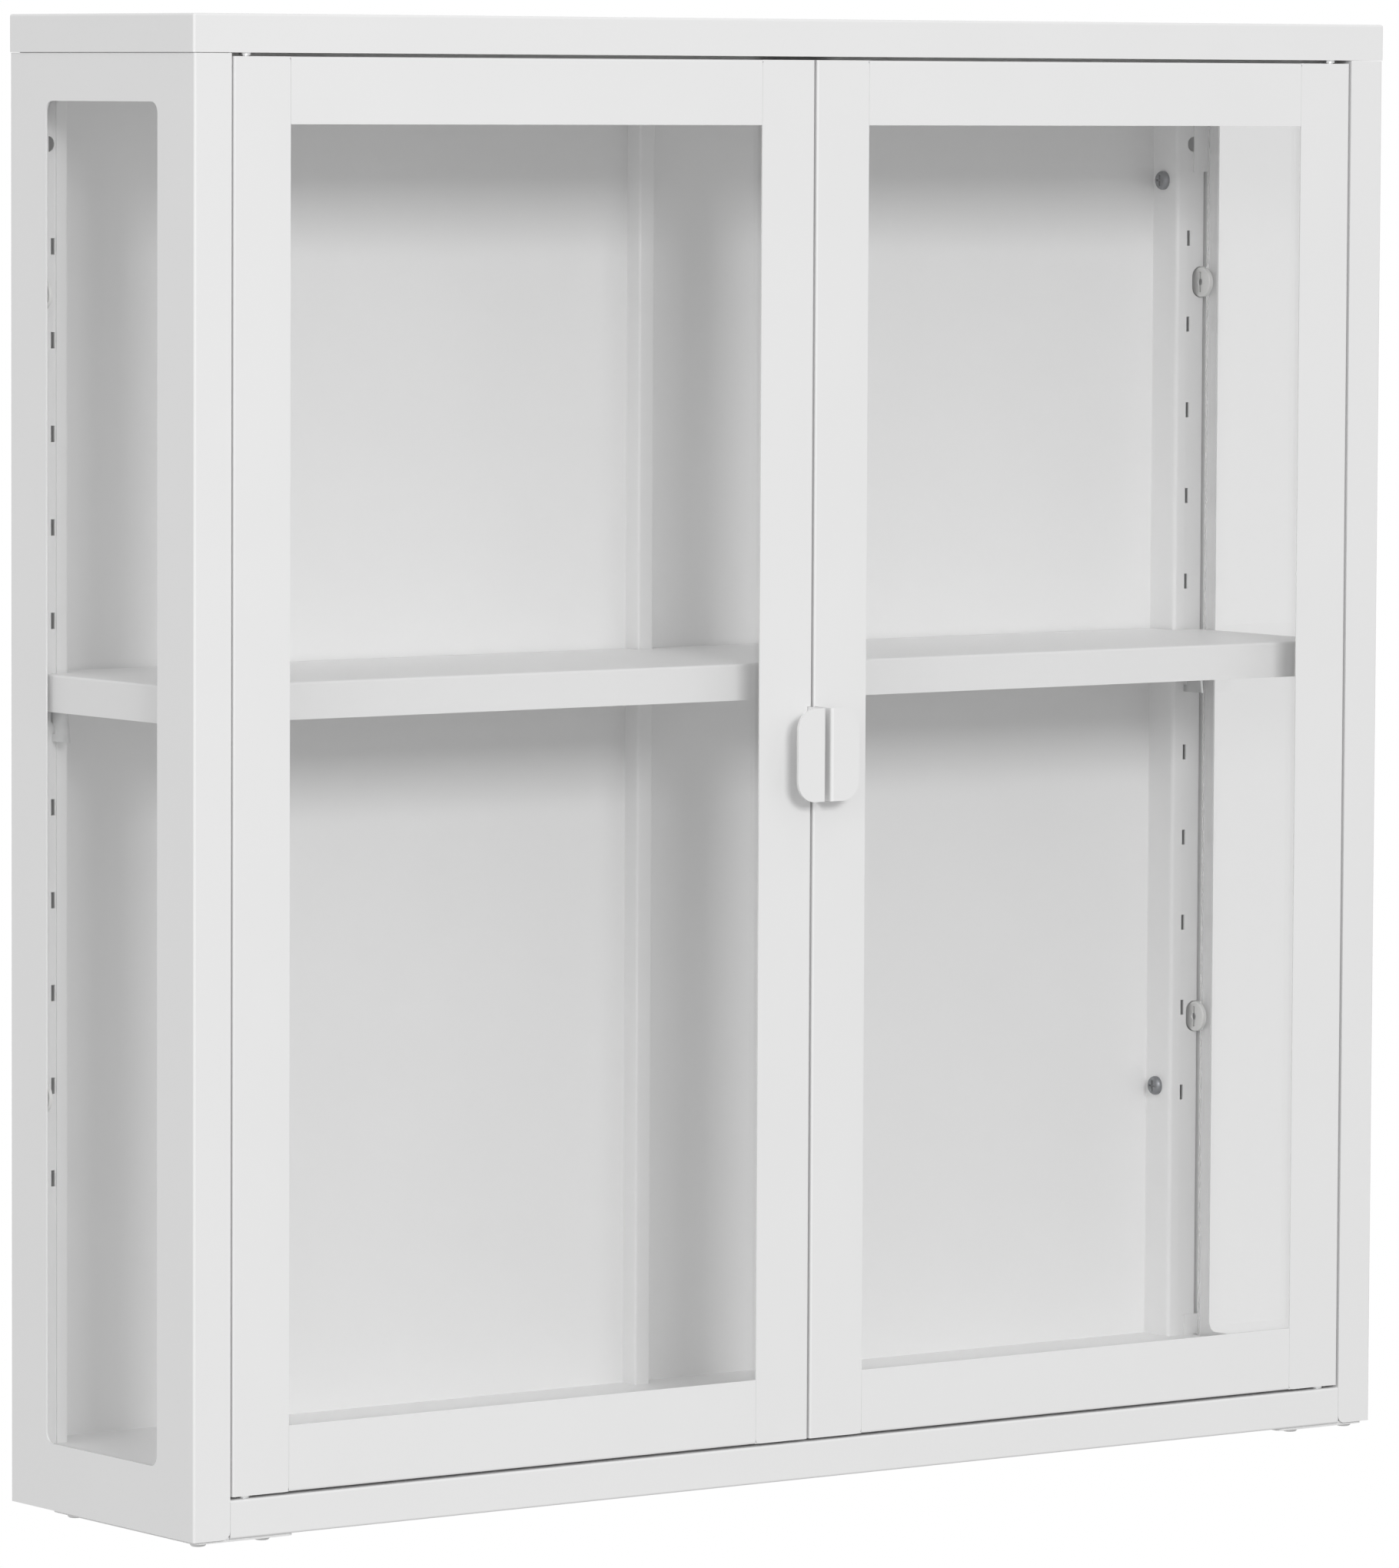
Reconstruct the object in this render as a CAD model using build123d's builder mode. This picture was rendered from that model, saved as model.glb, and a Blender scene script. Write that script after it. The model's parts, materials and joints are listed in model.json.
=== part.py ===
"""Hanging wall cabinet of folded sheet steel: two glazed doors, glazed sides, one loose shelf.

Millimetres. +X to the right, +Y towards the wall, +Z up. The wall plane is y = 0 and the two
wall-screw holes lie at z = 0.
"""

import os

from build123d import *

os.makedirs("parts", exist_ok=True)

# Overall size: over the side panels, wall plane to front plane, bottom edge to cap top
WIDTH = 806.0
DEPTH = 180.0
HEIGHT = 800.0
HANG_DROP = 69.0            # wall-screw holes below the cap's top

# Sheet metal
STEEL = 1.0                 # carcass sheet
DOOR_STEEL = 0.8            # door sheet
CARCASS_BEND = 1.3          # outside bend radius of the carcass
DOOR_BEND = 1.2             # outside bend radius of the doors

# Cap and trays
CAP_HEIGHT = 20.3
CAP_OVERHANG = 0.6          # past each side panel
CAP_EDGE = 1.3              # rounding of the cap's outer edges
CAP_JOINT = 0.3             # thin joint between cap and side panel
CAP_LIP = 36.0              # width of the lip turned in under the cap
RAIL_HEIGHT = 20.7          # front rail below the doors
STEP_SETBACK = 22.0         # door-stop step behind the front plane
FLOOR_HEIGHT = 33.0
CEILING_DROP = 33.0         # ceiling below the cap's top
TRAY_GAP = 5.5              # tray end to the side panel's outer face, room for the glass
RAIL_LIP = 24.0             # lip turned back under the front rail
RAIL_JOINT = 0.15           # front rail's end to the side panel's flange
RAIL_LAP = 6.0              # rail that its end plates hold

# Side panels
FLANGE = 23.0               # front flange width
FLANGE_ROUND = 4.5          # rounded lower corner of the front flange
REAR_FLANGE = 22.0
BOTTOM_FLANGE = 58.0
BOTTOM_FLANGE_GAP = 0.4     # round the bottom flange's edges
WINDOW_MARGIN = 35.5        # window edge to the front plane and to the wall plane
WINDOW_RISE = 36.0          # above the bottom edge
WINDOW_DROP = 46.0          # below the cap's top
WINDOW_ROUND = 6.0
HANG_HOLE = 8.6             # diameter
HANG_INSET = 11.4           # hole to the side panel's outer face

# Slotted posts
POST_WIDTH = 22.0
POST_DEPTH = 22.0
POST_GAP = 1.8              # rear post to the side panel
FRONT_POST_WIDTH = 14.5
FRONT_POST_DEPTH = 18.0
SLOT_PITCH = 50.0
SLOT_COUNT = 11
SLOT_FIRST = 176.5          # lowest slot above the bottom edge
SLOT_HEIGHT = 8.8
SLOT_WIDTH = 2.4
SLOT_INSET = 14.6           # slot to the side panel's outer face

# Back panel and rib
RIB_X = 6.0                 # rib's middle, right of the cabinet's middle
RIB_WIDTH = 10.4
RIB_DEPTH = 12.0
BACK_LIP = 6.6              # lip turned out over the rear post's face
BACK_BEND = 1.2             # bend radius of flanges and lips
BACK_SCREW_RISE = 180.0     # lower screws above the bottom edge
BACK_SCREW_DROP = 90.0      # upper screws below the cap's top
BACK_SCREW_DEPTH = 11.3     # screw axis to the wall plane
SCREW_HEAD = 11.0
SCREW_HEAD_HEIGHT = 3.2
SCREW_SHANK = 4.8
SCREW_LENGTH = 9.0
SCREW_HOLE_SLACK = 0.3      # hole wider than the shank
SCREW_HEAD_ROUND = 2.2
SCREW_RECESS = 6.4
SCREW_RECESS_WIDTH = 1.3
SCREW_RECESS_DEPTH = 1.6

# Glass and its retainers
GLASS = 4.0
PANE_PLAY = 0.15            # side panel to its pane
SIDE_GLASS_LAP = 9.0        # past the window's upper and lower edge
SIDE_GLASS_FRONT_LAP = 7.2  # past the window's front and rear edge
STUD = 4.0
STUD_HOLE = 6.0             # in the door glass
STUD_SINK = 0.5             # stud end below the retainer's face
RETAINER_HEAD = 18.0
RETAINER_HEAD_HEIGHT = 4.4
RETAINER_COLLAR = 11.0
RETAINER_COLLAR_HEIGHT = 3.8
RETAINER_SLACK = 0.2        # bore wider than the stud
RETAINER_SLOT = 2.2
RETAINER_SLOT_LENGTH = 11.0
RETAINER_SLOT_DEPTH = 1.3
RETAINER_ROUND = 0.9
SIDE_RETAINER_RISE = 221.0  # lower retainers above the bottom edge
SIDE_RETAINER_DROP = 149.0  # upper retainers below the cap's top
SIDE_RETAINER_DEPTH = 25.5  # centre to the wall plane and to the front plane
SIDE_RETAINER_HEAD = 17.4
SIDE_RETAINER_HEIGHT = 2.6
SIDE_RETAINER_ROUND = 0.9
SIDE_RETAINER_SLOT = 1.8
SIDE_RETAINER_SLOT_LENGTH = 12.0
POST_NOTCH_DEPTH = 8.7      # notches round the retainers, from the post's outer edge
POST_NOTCH_HEIGHT = 18.0
POST_NOTCH_ROUND = 6.0

# Corner tabs against the rear posts
TAB_WIDTH = 10.0
TAB_DROP = 52.0             # top tab below the ceiling
TAB_RISE = 12.0             # bottom tab above the floor
TAB_EDGE_GAP = 1.4          # tab to the side panel's outer face

# Base plates
BASE_PLATE_WIDTH = 62.0
BASE_PLATE_DEPTH = 142.0
BASE_PLATE = 1.5
BASE_PLATE_INSET = 2.0      # behind the front plane
BASE_PLATE_SIDE = 3.0       # inside the side panel
BASE_PLATE_ROUND = 4.0
BASE_SCREW_SIDE = 7.0       # outer screws to the plate's outer edge
BASE_SCREW_INNER = 15.0     # inner screws to the plate's inner edge
BASE_SCREW_FRONT = 9.0      # front screws to the plate's front edge
BASE_SCREW_REAR = 13.0      # rear screws to the plate's rear edge
BASE_SCREW_HEAD = 8.8
BASE_SCREW_HEAD_HEIGHT = 2.2
BASE_SCREW_SHANK = 5.0
BASE_SCREW_LENGTH = 8.0
BASE_SCREW_ROUND = 1.6
BASE_SCREW_HEX = 3.0        # across flats
BASE_SCREW_HEX_DEPTH = 1.4

# Shelf and its clips
SHELF_SLOT = 5              # slot that holds the clips, counted from the lowest as 0
SHELF_OVER_SLOT = 2.0       # shelf's underside over that slot's middle
SHELF_HEIGHT = 20.0
SHELF_FRONT = 28.0          # behind the front plane
SHELF_REAR = 3.2            # before the wall plane
SHELF_SIDE_GAP = 6.5        # to the side panel's outer face
SHELF_RETURN = 15.0         # lip turned in below
SHELF_ROUND = 1.4
SHELF_POST_GAP = 1.6        # round the back panel's flanges and lips and the rib
SHELF_LIFT = 0.3            # free height over the clips
CLIP = 1.5                  # plate thickness
CLIP_REACH = 16.5           # from the slotted face, at the foot
CLIP_TOP_REACH = 14.0
CLIP_DROP = 16.2
CLIP_FOOT = 4.0             # height of the foot that bears on the post
CLIP_NOTCH = 3.0            # depth of the relief above the foot
CLIP_NOTCH_HEIGHT = 3.0
CLIP_TONGUE_GAP = 0.3       # tongue to the slot's lower end
CLIP_HOOK = 10.0            # hook's drop behind the slot
CLIP_HOOK_WIDTH = 2.0
CLIP_HOOK_GAP = 0.3         # hook to the back of the slotted sheet

# Doors
SIDE_GAP = 1.4
MEETING_GAP = 1.5
BOTTOM_GAP = 1.6
TOP_GAP = 1.9
DOOR_DEPTH = 16.0
STILE = 35.5
RAIL = 35.3
STILE_ROUND = 2.6           # inner corners of the stile skins
DOOR_LIP = 14.0             # lip turned in at the back
DOOR_JOINT = 0.1            # rail end to the stile skin
TONGUE = 4.0                # rail's hold on the tongue behind it
TONGUE_SETBACK = 21.0       # tongue's end to the door edge
GLASS_LAP_STILE = 12.0
GLASS_LAP_RAIL = 20.0
SEAL = 0.6
SEAL_WIDTH = 7.0
SEAL_SETBACK = 1.5          # from the opening's edge
DOOR_STUD_LAP = 12.0        # stud to the opening's edge
DOOR_STUD_END = 62.0        # outer studs to the door edge

# Pivots
PIVOT_INSET = 10.5          # axis to the door's outer edge
PIVOT_SETBACK = 5.8         # axis behind the front plane
PIN = 5.0
PIN_REACH = 9.0             # into the door
PIN_COLLAR = 6.8
PIN_HEAD = 6.8
PIN_HEAD_HEIGHT = 1.5
PIN_HOLE_SLACK = 0.1
PIVOT_FREE = 0.4            # collar to the door's end
BUSH = 7.6
BUSH_FLANGE = 9.4
BUSH_FLANGE_HEIGHT = 1.2
BUSH_LENGTH = 10.0
BUSH_SLACK = 0.1            # bore wider than the pin
BUSH_HOLE_SLACK = 0.1

# Handles
HANDLE_RISE = 0.0           # handle's middle above the cabinet's middle
HANDLE_HEIGHT = 51.0
HANDLE_LOBE = 19.0
HANDLE_STAND = 15.0         # lobe face to the door face
HANDLE_STEEL = 1.5
HANDLE_BEND = 1.8
HANDLE_ROUND = 11.5
HANDLE_FOOT = 14.0
HANDLE_INSET = 1.0          # return to the door's meeting edge
HANDLE_SLOT_SLACK = 0.15

# Magnet catch
CATCH_WIDTH = 50.0
CATCH_HEIGHT = 9.0
CATCH_FREE = 0.3            # to the doors' backs
CATCH_DROP = 2.4            # below the cap's lip
CATCH_ROUND = 1.5
MAGNET_WIDTH = 12.0
MAGNET_HEIGHT = 5.0
MAGNET_DEPTH = 3.6
MAGNET_OFFSET = 10.0
CATCH_SCREW_OFFSET = 21.0
CATCH_SCREW_HEAD = 4.4
CATCH_SCREW_HEAD_HEIGHT = 1.3
CATCH_SCREW_SHANK = 2.4
CATCH_SCREW_LENGTH = 7.5
CATCH_SLACK = 0.2

# Places that follow from the sizes above
HALF = WIDTH / 2
FRONT = -DEPTH
TOP = HANG_DROP
BASE = TOP - HEIGHT
INNER = HALF - STEEL                        # side panel's inner face
CAP_BOTTOM = TOP - CAP_HEIGHT
LEDGE = BASE + RAIL_HEIGHT
FLOOR = BASE + FLOOR_HEIGHT
CEILING = TOP - CEILING_DROP
STEP = FRONT + STEP_SETBACK
TRAY_HALF = HALF - TRAY_GAP
POST_INNER = INNER - POST_WIDTH
POST_OUTER = INNER - POST_GAP
POST_BACK = -STEEL
POST_FACE = POST_BACK - POST_DEPTH          # slotted face of the rear posts
FRONT_POST_FACE = FRONT + STEEL + FRONT_POST_DEPTH
SLOT_X = HALF - SLOT_INSET
SLOT_MIDDLE = BASE + SLOT_FIRST + SLOT_PITCH * (SLOT_COUNT - 1) / 2
HANG_X = HALF - HANG_INSET
BACK_OUTER = POST_INNER
BACK_SCREW_HEIGHTS = (BASE + BACK_SCREW_RISE, TOP - BACK_SCREW_DROP)
BACK_FACE = -2 * STEEL
PANE_OUTER = INNER - PANE_PLAY
PANE_INNER = PANE_OUTER - GLASS
WINDOW_FRONT = FRONT + WINDOW_MARGIN
WINDOW_REAR = -WINDOW_MARGIN
WINDOW_Z0 = BASE + WINDOW_RISE
WINDOW_Z1 = TOP - WINDOW_DROP
SIDE_RETAINER_HEIGHTS = (BASE + SIDE_RETAINER_RISE, TOP - SIDE_RETAINER_DROP)
SHELF_UNDER = BASE + SLOT_FIRST + SLOT_PITCH * SHELF_SLOT + SHELF_OVER_SLOT
SHELF_Z = SHELF_UNDER + SHELF_HEIGHT
SHELF_HALF = HALF - SHELF_SIDE_GAP
SHELF_Y0 = FRONT + SHELF_FRONT
SHELF_Y1 = -SHELF_REAR
CLIP_TOP = SHELF_UNDER - SHELF_LIFT
DOOR_OUTER = HALF - FLANGE - SIDE_GAP
DOOR_MEET = MEETING_GAP / 2
DOOR_Z0 = LEDGE + BOTTOM_GAP
DOOR_Z1 = CAP_BOTTOM - TOP_GAP
DOOR_BACK = FRONT + DOOR_DEPTH
OPEN_X0 = DOOR_MEET + STILE                 # edges of the glazed opening
OPEN_X1 = DOOR_OUTER - STILE
OPEN_Z0 = DOOR_Z0 + RAIL
OPEN_Z1 = DOOR_Z1 - RAIL
PIVOT_X = DOOR_OUTER - PIVOT_INSET
PIVOT_Y = FRONT + PIVOT_SETBACK
STILE_SKIN = FRONT + DOOR_STEEL             # back of the stile and rail skins
TONGUE_BACK = STILE_SKIN + DOOR_STEEL
PANE_FRONT = TONGUE_BACK + SEAL
PANE_BACK = PANE_FRONT + GLASS
HANDLE_Z0 = (BASE + TOP - HANDLE_HEIGHT) / 2 + HANDLE_RISE
HANDLE_Z1 = HANDLE_Z0 + HANDLE_HEIGHT
HANDLE_X = DOOR_MEET + HANDLE_INSET
PLATE_X1 = HALF - BASE_PLATE_SIDE
PLATE_X0 = PLATE_X1 - BASE_PLATE_WIDTH
PLATE_Y0 = FRONT + BASE_PLATE_INSET
PLATE_Y1 = PLATE_Y0 + BASE_PLATE_DEPTH
CATCH_FACE = DOOR_BACK + CATCH_FREE
CATCH_Z1 = CAP_BOTTOM - CATCH_DROP
CATCH_Z = CATCH_Z1 - CATCH_HEIGHT / 2


def block(x0, x1, y0, y1, z0, z1, mode=Mode.ADD):
    """Box between two corners, in the part being built."""
    with Locations(((x0 + x1) / 2, (y0 + y1) / 2, (z0 + z1) / 2)):
        Box(x1 - x0, y1 - y0, z1 - z0, mode=mode)


def rod_x(x0, x1, y, z, diameter, mode=Mode.ADD):
    """Cylinder along X, in the part being built."""
    with Locations(Location(((x0 + x1) / 2, y, z), (0, 90, 0))):
        Cylinder(diameter / 2, x1 - x0, mode=mode)


def rod_y(x, y0, y1, z, diameter, mode=Mode.ADD):
    """Cylinder along Y, in the part being built."""
    with Locations(Location((x, (y0 + y1) / 2, z), (90, 0, 0))):
        Cylinder(diameter / 2, y1 - y0, mode=mode)


def rod_z(x, y, z0, z1, diameter, mode=Mode.ADD):
    """Cylinder along Z, in the part being built."""
    with Locations((x, y, (z0 + z1) / 2)):
        Cylinder(diameter / 2, z1 - z0, mode=mode)


def folded(plane, points, thickness, bend, side):
    """Section of a bent sheet: its outer faces run along the points."""
    with BuildSketch(plane) as section:
        with BuildLine():
            FilletPolyline(*points, radius=bend)
            offset(amount=thickness, side=side)
        make_face()
    return section.sketch


def save(part, name):
    """Write one piece."""
    part.label = name
    export_step(part, f"parts/{name}.step")


def save_pair(part, name):
    """Write a right-hand piece and its left-hand mirror image."""
    save(part, f"right_{name}")
    save(mirror(part, about=Plane.YZ), f"left_{name}")


# Top cap: closed tray with a lip turned in below, pierced for the upper pivot pins
CAP_HALF = HALF + CAP_OVERHANG
with BuildPart() as top_cap:
    block(-CAP_HALF, CAP_HALF, FRONT, 0, CAP_BOTTOM, TOP)
    fillet(top_cap.edges().filter_by(Axis.Z), radius=CAP_EDGE)
    fillet(top_cap.faces().sort_by(Axis.Z)[-1].edges(), radius=CAP_EDGE)
    block(-CAP_HALF + STEEL, CAP_HALF - STEEL, FRONT + STEEL, -STEEL,
          CAP_BOTTOM + STEEL, TOP - STEEL, mode=Mode.SUBTRACT)
    block(-CAP_HALF + CAP_LIP, CAP_HALF - CAP_LIP, FRONT + CAP_LIP, -CAP_LIP,
          CAP_BOTTOM - STEEL, CAP_BOTTOM + 2 * STEEL, mode=Mode.SUBTRACT)
    for side in (-1, 1):
        rod_z(side * PIVOT_X, PIVOT_Y, CAP_BOTTOM - STEEL, CAP_BOTTOM + 2 * STEEL,
              PIN + PIN_HOLE_SLACK, mode=Mode.SUBTRACT)
save(top_cap.part, "top_cap")

# Ceiling tray: its front step stops the doors and carries the magnet catch
ceiling_section = folded(
    Plane.YZ.offset(-TRAY_HALF),
    [(STEP, CAP_BOTTOM), (STEP, CEILING), (POST_BACK, CEILING), (POST_BACK, CAP_BOTTOM)],
    STEEL, CARCASS_BEND, Side.LEFT)
with BuildPart() as ceiling_tray:
    extrude(ceiling_section, amount=2 * TRAY_HALF)
    for side in (-1, 1):
        rod_y(side * CATCH_SCREW_OFFSET, STEP - STEEL, STEP + 2 * STEEL, CATCH_Z,
              CATCH_SCREW_SHANK + CATCH_SLACK, mode=Mode.SUBTRACT)
save(ceiling_tray.part, "ceiling_tray")

# Bottom tray: lip, front rail, door ledge, step, floor and rear wall from one sheet.
# The rail fits between the side panels' flanges, on a plate behind each
bottom_section = folded(
    Plane.YZ.offset(-TRAY_HALF),
    [(FRONT + RAIL_LIP, BASE), (FRONT, BASE), (FRONT, LEDGE), (STEP, LEDGE),
     (STEP, FLOOR), (POST_BACK, FLOOR), (POST_BACK, BASE + 2 * STEEL)],
    STEEL, CARCASS_BEND, Side.RIGHT)
RAIL_END = HALF - FLANGE - RAIL_JOINT
RAIL_BACK = FRONT + STEEL
LIP_END = INNER - BOTTOM_FLANGE - BOTTOM_FLANGE_GAP
with BuildPart() as bottom_tray:
    extrude(bottom_section, amount=2 * TRAY_HALF)
    for side in (-1, 1):
        x0, x1 = sorted((side * RAIL_END, side * HALF))
        block(x0, x1, FRONT - STEEL, RAIL_BACK, BASE - STEEL, LEDGE + STEEL, mode=Mode.SUBTRACT)
        x0, x1 = sorted((side * LIP_END, side * HALF))
        block(x0, x1, RAIL_BACK, RAIL_BACK + RAIL_LIP, BASE - STEEL, BASE + 2 * STEEL, mode=Mode.SUBTRACT)
        x0, x1 = sorted((side * (RAIL_END - RAIL_LAP), side * TRAY_HALF))
        block(x0, x1, RAIL_BACK, RAIL_BACK + STEEL, BASE + 2 * STEEL, LEDGE - STEEL)
        rod_z(side * PIVOT_X, PIVOT_Y, LEDGE - 2 * STEEL, LEDGE + STEEL,
              PIN + PIN_HOLE_SLACK, mode=Mode.SUBTRACT)
save(bottom_tray.part, "bottom_tray")

# Side panels: folded round the edges, with a window, the wall-screw hole and the base screws' holes
base_screw_places = []
for x in (PLATE_X1 - BASE_SCREW_SIDE, PLATE_X0 + BASE_SCREW_INNER):
    for y in (PLATE_Y0 + BASE_SCREW_FRONT, PLATE_Y1 - BASE_SCREW_REAR):
        base_screw_places.append((x, y))
side_section = folded(
    Plane.XY.offset(BASE),
    [(HALF - REAR_FLANGE, 0), (HALF, 0), (HALF, FRONT), (HALF - FLANGE, FRONT)],
    STEEL, CARCASS_BEND, Side.RIGHT)
WINDOW_MIDDLE = ((WINDOW_FRONT + WINDOW_REAR) / 2, (WINDOW_Z0 + WINDOW_Z1) / 2)
with BuildPart() as side_panel:
    extrude(side_section, amount=CAP_BOTTOM - CAP_JOINT - BASE)
    flange_corners = side_panel.edges().filter_by(Axis.Y).group_by(Axis.X)[0].sort_by(Axis.Z)
    fillet(flange_corners[0], radius=FLANGE_ROUND)
    with BuildSketch(Plane.YZ.offset(HALF)):
        with Locations(WINDOW_MIDDLE):
            RectangleRounded(WINDOW_REAR - WINDOW_FRONT, WINDOW_Z1 - WINDOW_Z0, WINDOW_ROUND)
    extrude(amount=-2 * STEEL, mode=Mode.SUBTRACT)
    block(INNER - BOTTOM_FLANGE, INNER, RAIL_BACK + BOTTOM_FLANGE_GAP,
          POST_BACK - BOTTOM_FLANGE_GAP, BASE, BASE + STEEL)
    for x, y in base_screw_places:
        rod_z(x, y, BASE - STEEL, BASE + 2 * STEEL,
              BASE_SCREW_SHANK + SCREW_HOLE_SLACK, mode=Mode.SUBTRACT)
    rod_y(HANG_X, -2 * STEEL, STEEL, 0, HANG_HOLE, mode=Mode.SUBTRACT)
save_pair(side_panel.part, "side_panel")

# Rear posts: channels with the shelf slots, the screwdriver hole in front of the wall screw and
# a notch round each retainer of the side glass
rear_post_section = folded(
    Plane.XY.offset(FLOOR),
    [(POST_OUTER, POST_BACK - CARCASS_BEND), (POST_OUTER, POST_FACE), (POST_INNER, POST_FACE),
     (POST_INNER, POST_BACK)],
    STEEL, CARCASS_BEND, Side.RIGHT)
with BuildPart() as rear_post:
    extrude(rear_post_section, amount=CEILING - FLOOR)
    with BuildSketch(Plane.XZ.offset(-POST_FACE)):
        with Locations((SLOT_X, SLOT_MIDDLE)):
            with GridLocations(0, SLOT_PITCH, 1, SLOT_COUNT):
                Rectangle(SLOT_WIDTH, SLOT_HEIGHT)
        with Locations(*[(POST_OUTER, height) for height in SIDE_RETAINER_HEIGHTS]):
            RectangleRounded(2 * POST_NOTCH_DEPTH, POST_NOTCH_HEIGHT, POST_NOTCH_ROUND)
    extrude(amount=-2 * STEEL, mode=Mode.SUBTRACT)
    rod_y(HANG_X, POST_FACE - STEEL, POST_FACE + 2 * STEEL, 0, HANG_HOLE, mode=Mode.SUBTRACT)
    for height in BACK_SCREW_HEIGHTS:
        rod_x(POST_INNER - STEEL, POST_INNER + 2 * STEEL, -BACK_SCREW_DEPTH, height,
              SCREW_SHANK + SCREW_HOLE_SLACK, mode=Mode.SUBTRACT)
save_pair(rear_post.part, "rear_post")

# Front posts: angles behind the front flanges with the same slots
front_post_section = folded(
    Plane.XY.offset(LEDGE),
    [(POST_INNER, FRONT + STEEL), (POST_INNER, FRONT_POST_FACE),
     (POST_INNER + FRONT_POST_WIDTH, FRONT_POST_FACE)],
    STEEL, CARCASS_BEND, Side.RIGHT)
with BuildPart() as front_post:
    extrude(front_post_section, amount=CAP_BOTTOM - LEDGE)
    with BuildSketch(Plane.XZ.offset(-FRONT_POST_FACE)):
        with Locations((SLOT_X, SLOT_MIDDLE)):
            with GridLocations(0, SLOT_PITCH, 1, SLOT_COUNT):
                Rectangle(SLOT_WIDTH, SLOT_HEIGHT)
    extrude(amount=2 * STEEL, mode=Mode.SUBTRACT)
save_pair(front_post.part, "front_post")

# Back panel: sheet with two forward flanges that are screwed to the rear posts and lap over their faces
back_section = folded(
    Plane.XY.offset(FLOOR),
    [(BACK_OUTER + BACK_LIP, POST_FACE), (BACK_OUTER, POST_FACE), (BACK_OUTER, POST_BACK),
     (-BACK_OUTER, POST_BACK), (-BACK_OUTER, POST_FACE), (-BACK_OUTER - BACK_LIP, POST_FACE)],
    STEEL, BACK_BEND, Side.LEFT)
with BuildPart() as back_panel:
    extrude(back_section, amount=CEILING - FLOOR)
    for height in BACK_SCREW_HEIGHTS:
        rod_x(-HALF, HALF, -BACK_SCREW_DEPTH, height,
              SCREW_SHANK + SCREW_HOLE_SLACK, mode=Mode.SUBTRACT)
save(back_panel.part, "back_panel")

# Upright rib down the back, a little right of the middle
rib_section = folded(
    Plane.XY.offset(FLOOR),
    [(RIB_X + RIB_WIDTH / 2, BACK_FACE), (RIB_X + RIB_WIDTH / 2, BACK_FACE - RIB_DEPTH),
     (RIB_X - RIB_WIDTH / 2, BACK_FACE - RIB_DEPTH), (RIB_X - RIB_WIDTH / 2, BACK_FACE)],
    STEEL, CARCASS_BEND, Side.RIGHT)
with BuildPart() as back_center_rib:
    extrude(rib_section, amount=CEILING - FLOOR)
save(back_center_rib.part, "back_center_rib")

# Pan-head screw with a cross recess, head up on z = 0
with BuildPart() as pan_screw:
    rod_z(0, 0, 0, SCREW_HEAD_HEIGHT, SCREW_HEAD)
    fillet(pan_screw.edges().sort_by(Axis.Z)[-1], radius=SCREW_HEAD_ROUND)
    rod_z(0, 0, -SCREW_LENGTH, 0, SCREW_SHANK)
    with Locations((0, 0, SCREW_HEAD_HEIGHT - SCREW_RECESS_DEPTH / 2)):
        Box(SCREW_RECESS, SCREW_RECESS_WIDTH, SCREW_RECESS_DEPTH, mode=Mode.SUBTRACT)
        Box(SCREW_RECESS_WIDTH, SCREW_RECESS, SCREW_RECESS_DEPTH, mode=Mode.SUBTRACT)
back_screw_places = []
for side in (-1, 1):
    for height in BACK_SCREW_HEIGHTS:
        place = (side * (BACK_OUTER - STEEL), -BACK_SCREW_DEPTH, height)
        back_screw_places.append(Location(place, (0, -90 * side, 0)))
with BuildPart() as back_panel_screws:
    with Locations(*back_screw_places):
        add(pan_screw.part)
save(back_panel_screws.part, "back_panel_screws")

# Side glass, between the studs of its retainers
with BuildPart() as side_glass:
    block(PANE_INNER, PANE_OUTER, WINDOW_FRONT - SIDE_GLASS_FRONT_LAP, WINDOW_REAR + SIDE_GLASS_FRONT_LAP,
          WINDOW_Z0 - SIDE_GLASS_LAP, WINDOW_Z1 + SIDE_GLASS_LAP)
save_pair(side_glass.part, "side_glass")

# Flat slotted disc on a stud beside the pane's edge: its rim holds the pane
side_stud_places = []
for depth in (-SIDE_RETAINER_DEPTH, FRONT + SIDE_RETAINER_DEPTH):
    for height in SIDE_RETAINER_HEIGHTS:
        side_stud_places.append((depth, height))
with BuildPart() as side_retainer:
    rod_z(0, 0, 0, SIDE_RETAINER_HEIGHT, SIDE_RETAINER_HEAD)
    fillet(side_retainer.edges().sort_by(Axis.Z)[-1], radius=SIDE_RETAINER_ROUND)
    rod_z(0, 0, -STEEL, SIDE_RETAINER_HEIGHT + STEEL, STUD + RETAINER_SLACK, mode=Mode.SUBTRACT)
    block(-SIDE_RETAINER_SLOT_LENGTH / 2, SIDE_RETAINER_SLOT_LENGTH / 2, -SIDE_RETAINER_SLOT / 2,
          SIDE_RETAINER_SLOT / 2, -STEEL, SIDE_RETAINER_HEIGHT + STEEL, mode=Mode.SUBTRACT)
with BuildPart() as side_retainers:
    with Locations(*[Location((PANE_INNER, y, z), (0, -90, 0)) for y, z in side_stud_places]):
        add(side_retainer.part)
save_pair(side_retainers.part, "side_retainers")
with BuildPart() as side_studs:
    for depth, height in side_stud_places:
        rod_x(PANE_INNER - SIDE_RETAINER_HEIGHT + STUD_SINK, INNER, depth, height, STUD)
save_pair(side_studs.part, "side_studs")

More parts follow.
